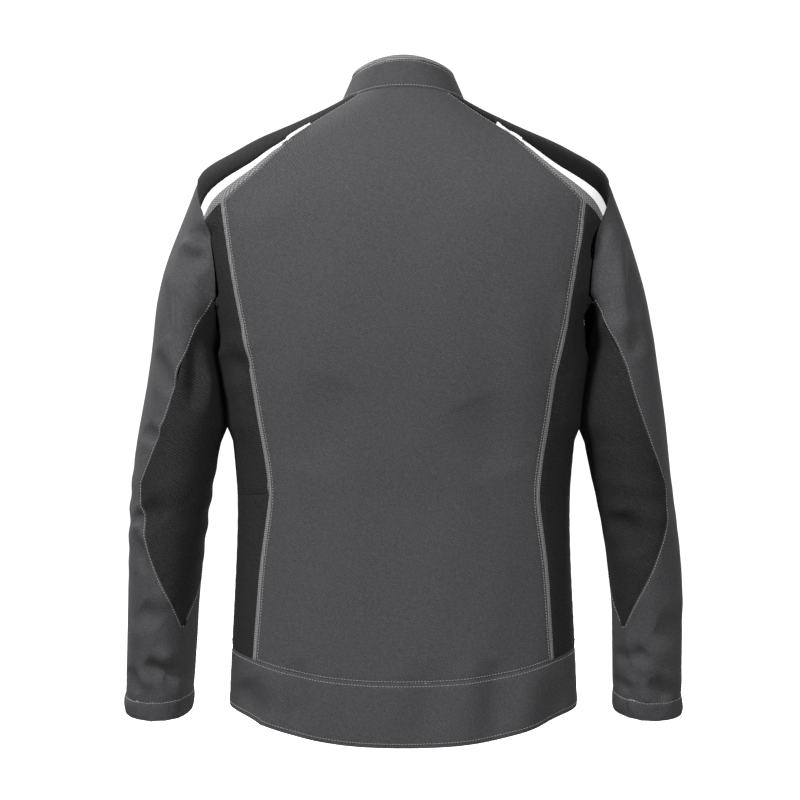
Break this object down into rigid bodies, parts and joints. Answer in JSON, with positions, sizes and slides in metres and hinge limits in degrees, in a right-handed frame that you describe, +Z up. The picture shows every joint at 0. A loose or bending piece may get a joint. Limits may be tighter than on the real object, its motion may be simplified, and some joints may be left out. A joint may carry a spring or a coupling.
{
  "type": "work jacket",
  "caption": "Zip-front work jacket with stand collar, contrast shoulder yoke, side and elbow panels, flap chest pockets and set-in sleeves, standing open as if worn.",
  "frame": {"origin": "top of the hanger loop inside the back neck, which hangs on a hook", "axes": "+Z up, front towards -Y, the wearer's left towards +X"},
  "size_m": [0.62, 0.2475, 0.7466],
  "materials": {
    "grey_twill": "woven dark grey twill, matt",
    "black_twill": "woven black twill, matt",
    "light_band": "light grey twill piping",
    "reflective_tape": "white retroreflective tape",
    "zip_tape": "black woven zip tape",
    "zip_teeth": "moulded black teeth",
    "dark_metal": "gunmetal plated"
  },
  "bodies": {
    "jacket_body": {"back_panel": "grey_twill", "hem_band_back": "grey_twill", "collar_outer": "grey_twill", "front_panel_left": "grey_twill", "front_panel_right": "grey_twill", "hem_band_front_left": "grey_twill", "hem_band_front_right": "grey_twill", "chest_pocket_left": "grey_twill", "chest_pocket_right": "grey_twill", "sleeve_cap_left": "grey_twill", "sleeve_cap_right": "grey_twill", "collar_lining": "black_twill", "neck_tape": "black_twill", "hanger_loop": "black_twill", "yoke_left": "black_twill", "yoke_right": "black_twill", "side_panel_upper_left": "black_twill", "side_panel_upper_right": "black_twill", "side_panel_lower_left": "black_twill", "side_panel_lower_right": "black_twill", "front_side_panel_left": "black_twill", "front_side_panel_right": "black_twill", "front_facing_left": "black_twill", "front_facing_right": "black_twill", "hip_pocket_welt_left": "black_twill", "hip_pocket_welt_right": "black_twill", "underarm_gusset_left": "black_twill", "underarm_gusset_right": "black_twill", "collar_band": "light_band", "princess_band_left": "light_band", "princess_band_right": "light_band", "shoulder_band_left": "light_band", "shoulder_band_right": "light_band", "shoulder_stripe_left": "reflective_tape", "shoulder_stripe_right": "reflective_tape", "zip_tape_left": "zip_tape", "zip_tape_right": "zip_tape", "zip_teeth_left": "zip_teeth", "zip_teeth_right": "zip_teeth", "zip_end_box": "dark_metal", "zip_top_stop_left": "dark_metal", "zip_top_stop_right": "dark_metal", "snap_stud_left": "dark_metal", "snap_stud_right": "dark_metal"},
    "upper_sleeve_left": {"upper_sleeve_left": "grey_twill", "upper_elbow_panel_left": "black_twill"},
    "forearm_left": {"lower_sleeve_left": "grey_twill", "lower_elbow_panel_left": "black_twill", "cuff_hem_left": "grey_twill"},
    "chest_flap_left": {"chest_flap_left": "black_twill", "snap_cap_left": "dark_metal"},
    "upper_sleeve_right": {"upper_sleeve_right": "grey_twill", "upper_elbow_panel_right": "black_twill"},
    "forearm_right": {"lower_sleeve_right": "grey_twill", "lower_elbow_panel_right": "black_twill", "cuff_hem_right": "grey_twill"},
    "chest_flap_right": {"chest_flap_right": "black_twill", "snap_cap_right": "dark_metal"},
    "zip_slider": {"zip_slider": "dark_metal"},
    "zip_pull": {"zip_pull": "dark_metal"}
  },
  "joints": [
    {"name": "shoulder_left", "type": "hinge", "parent": "jacket_body", "child": "upper_sleeve_left", "pos_m": [0.258, -0.0315, -0.1928], "axis": [0, -1, 0], "range_deg": [0, 60]},
    {"name": "elbow_left", "type": "hinge", "parent": "upper_sleeve_left", "child": "forearm_left", "pos_m": [0.2575, -0.1066, -0.473], "axis": [-1, 0, 0], "range_deg": [0, 90]},
    {"name": "flap_left", "type": "hinge", "parent": "jacket_body", "child": "chest_flap_left", "pos_m": [0.0979, -0.1376, -0.2144], "axis": [-0.9902, -0.14, 0], "range_deg": [0, 110]},
    {"name": "shoulder_right", "type": "hinge", "parent": "jacket_body", "child": "upper_sleeve_right", "pos_m": [-0.258, -0.0315, -0.1928], "axis": [0, 1, 0], "range_deg": [0, 60]},
    {"name": "elbow_right", "type": "hinge", "parent": "upper_sleeve_right", "child": "forearm_right", "pos_m": [-0.2575, -0.1066, -0.473], "axis": [-1, 0, 0], "range_deg": [0, 90]},
    {"name": "flap_right", "type": "hinge", "parent": "jacket_body", "child": "chest_flap_right", "pos_m": [-0.0979, -0.1376, -0.2144], "axis": [-0.9902, 0.14, 0], "range_deg": [0, 110]},
    {"name": "zip_slide", "type": "slide", "parent": "jacket_body", "child": "zip_slider", "axis": [0, -0.0476, -0.9989], "range_m": [0, 0.588]},
    {"name": "pull_swing", "type": "hinge", "parent": "zip_slider", "child": "zip_pull", "pos_m": [0, -0.13175, -0.0608], "axis": [-1, 0, 0], "range_deg": [0, 150]}
  ]
}
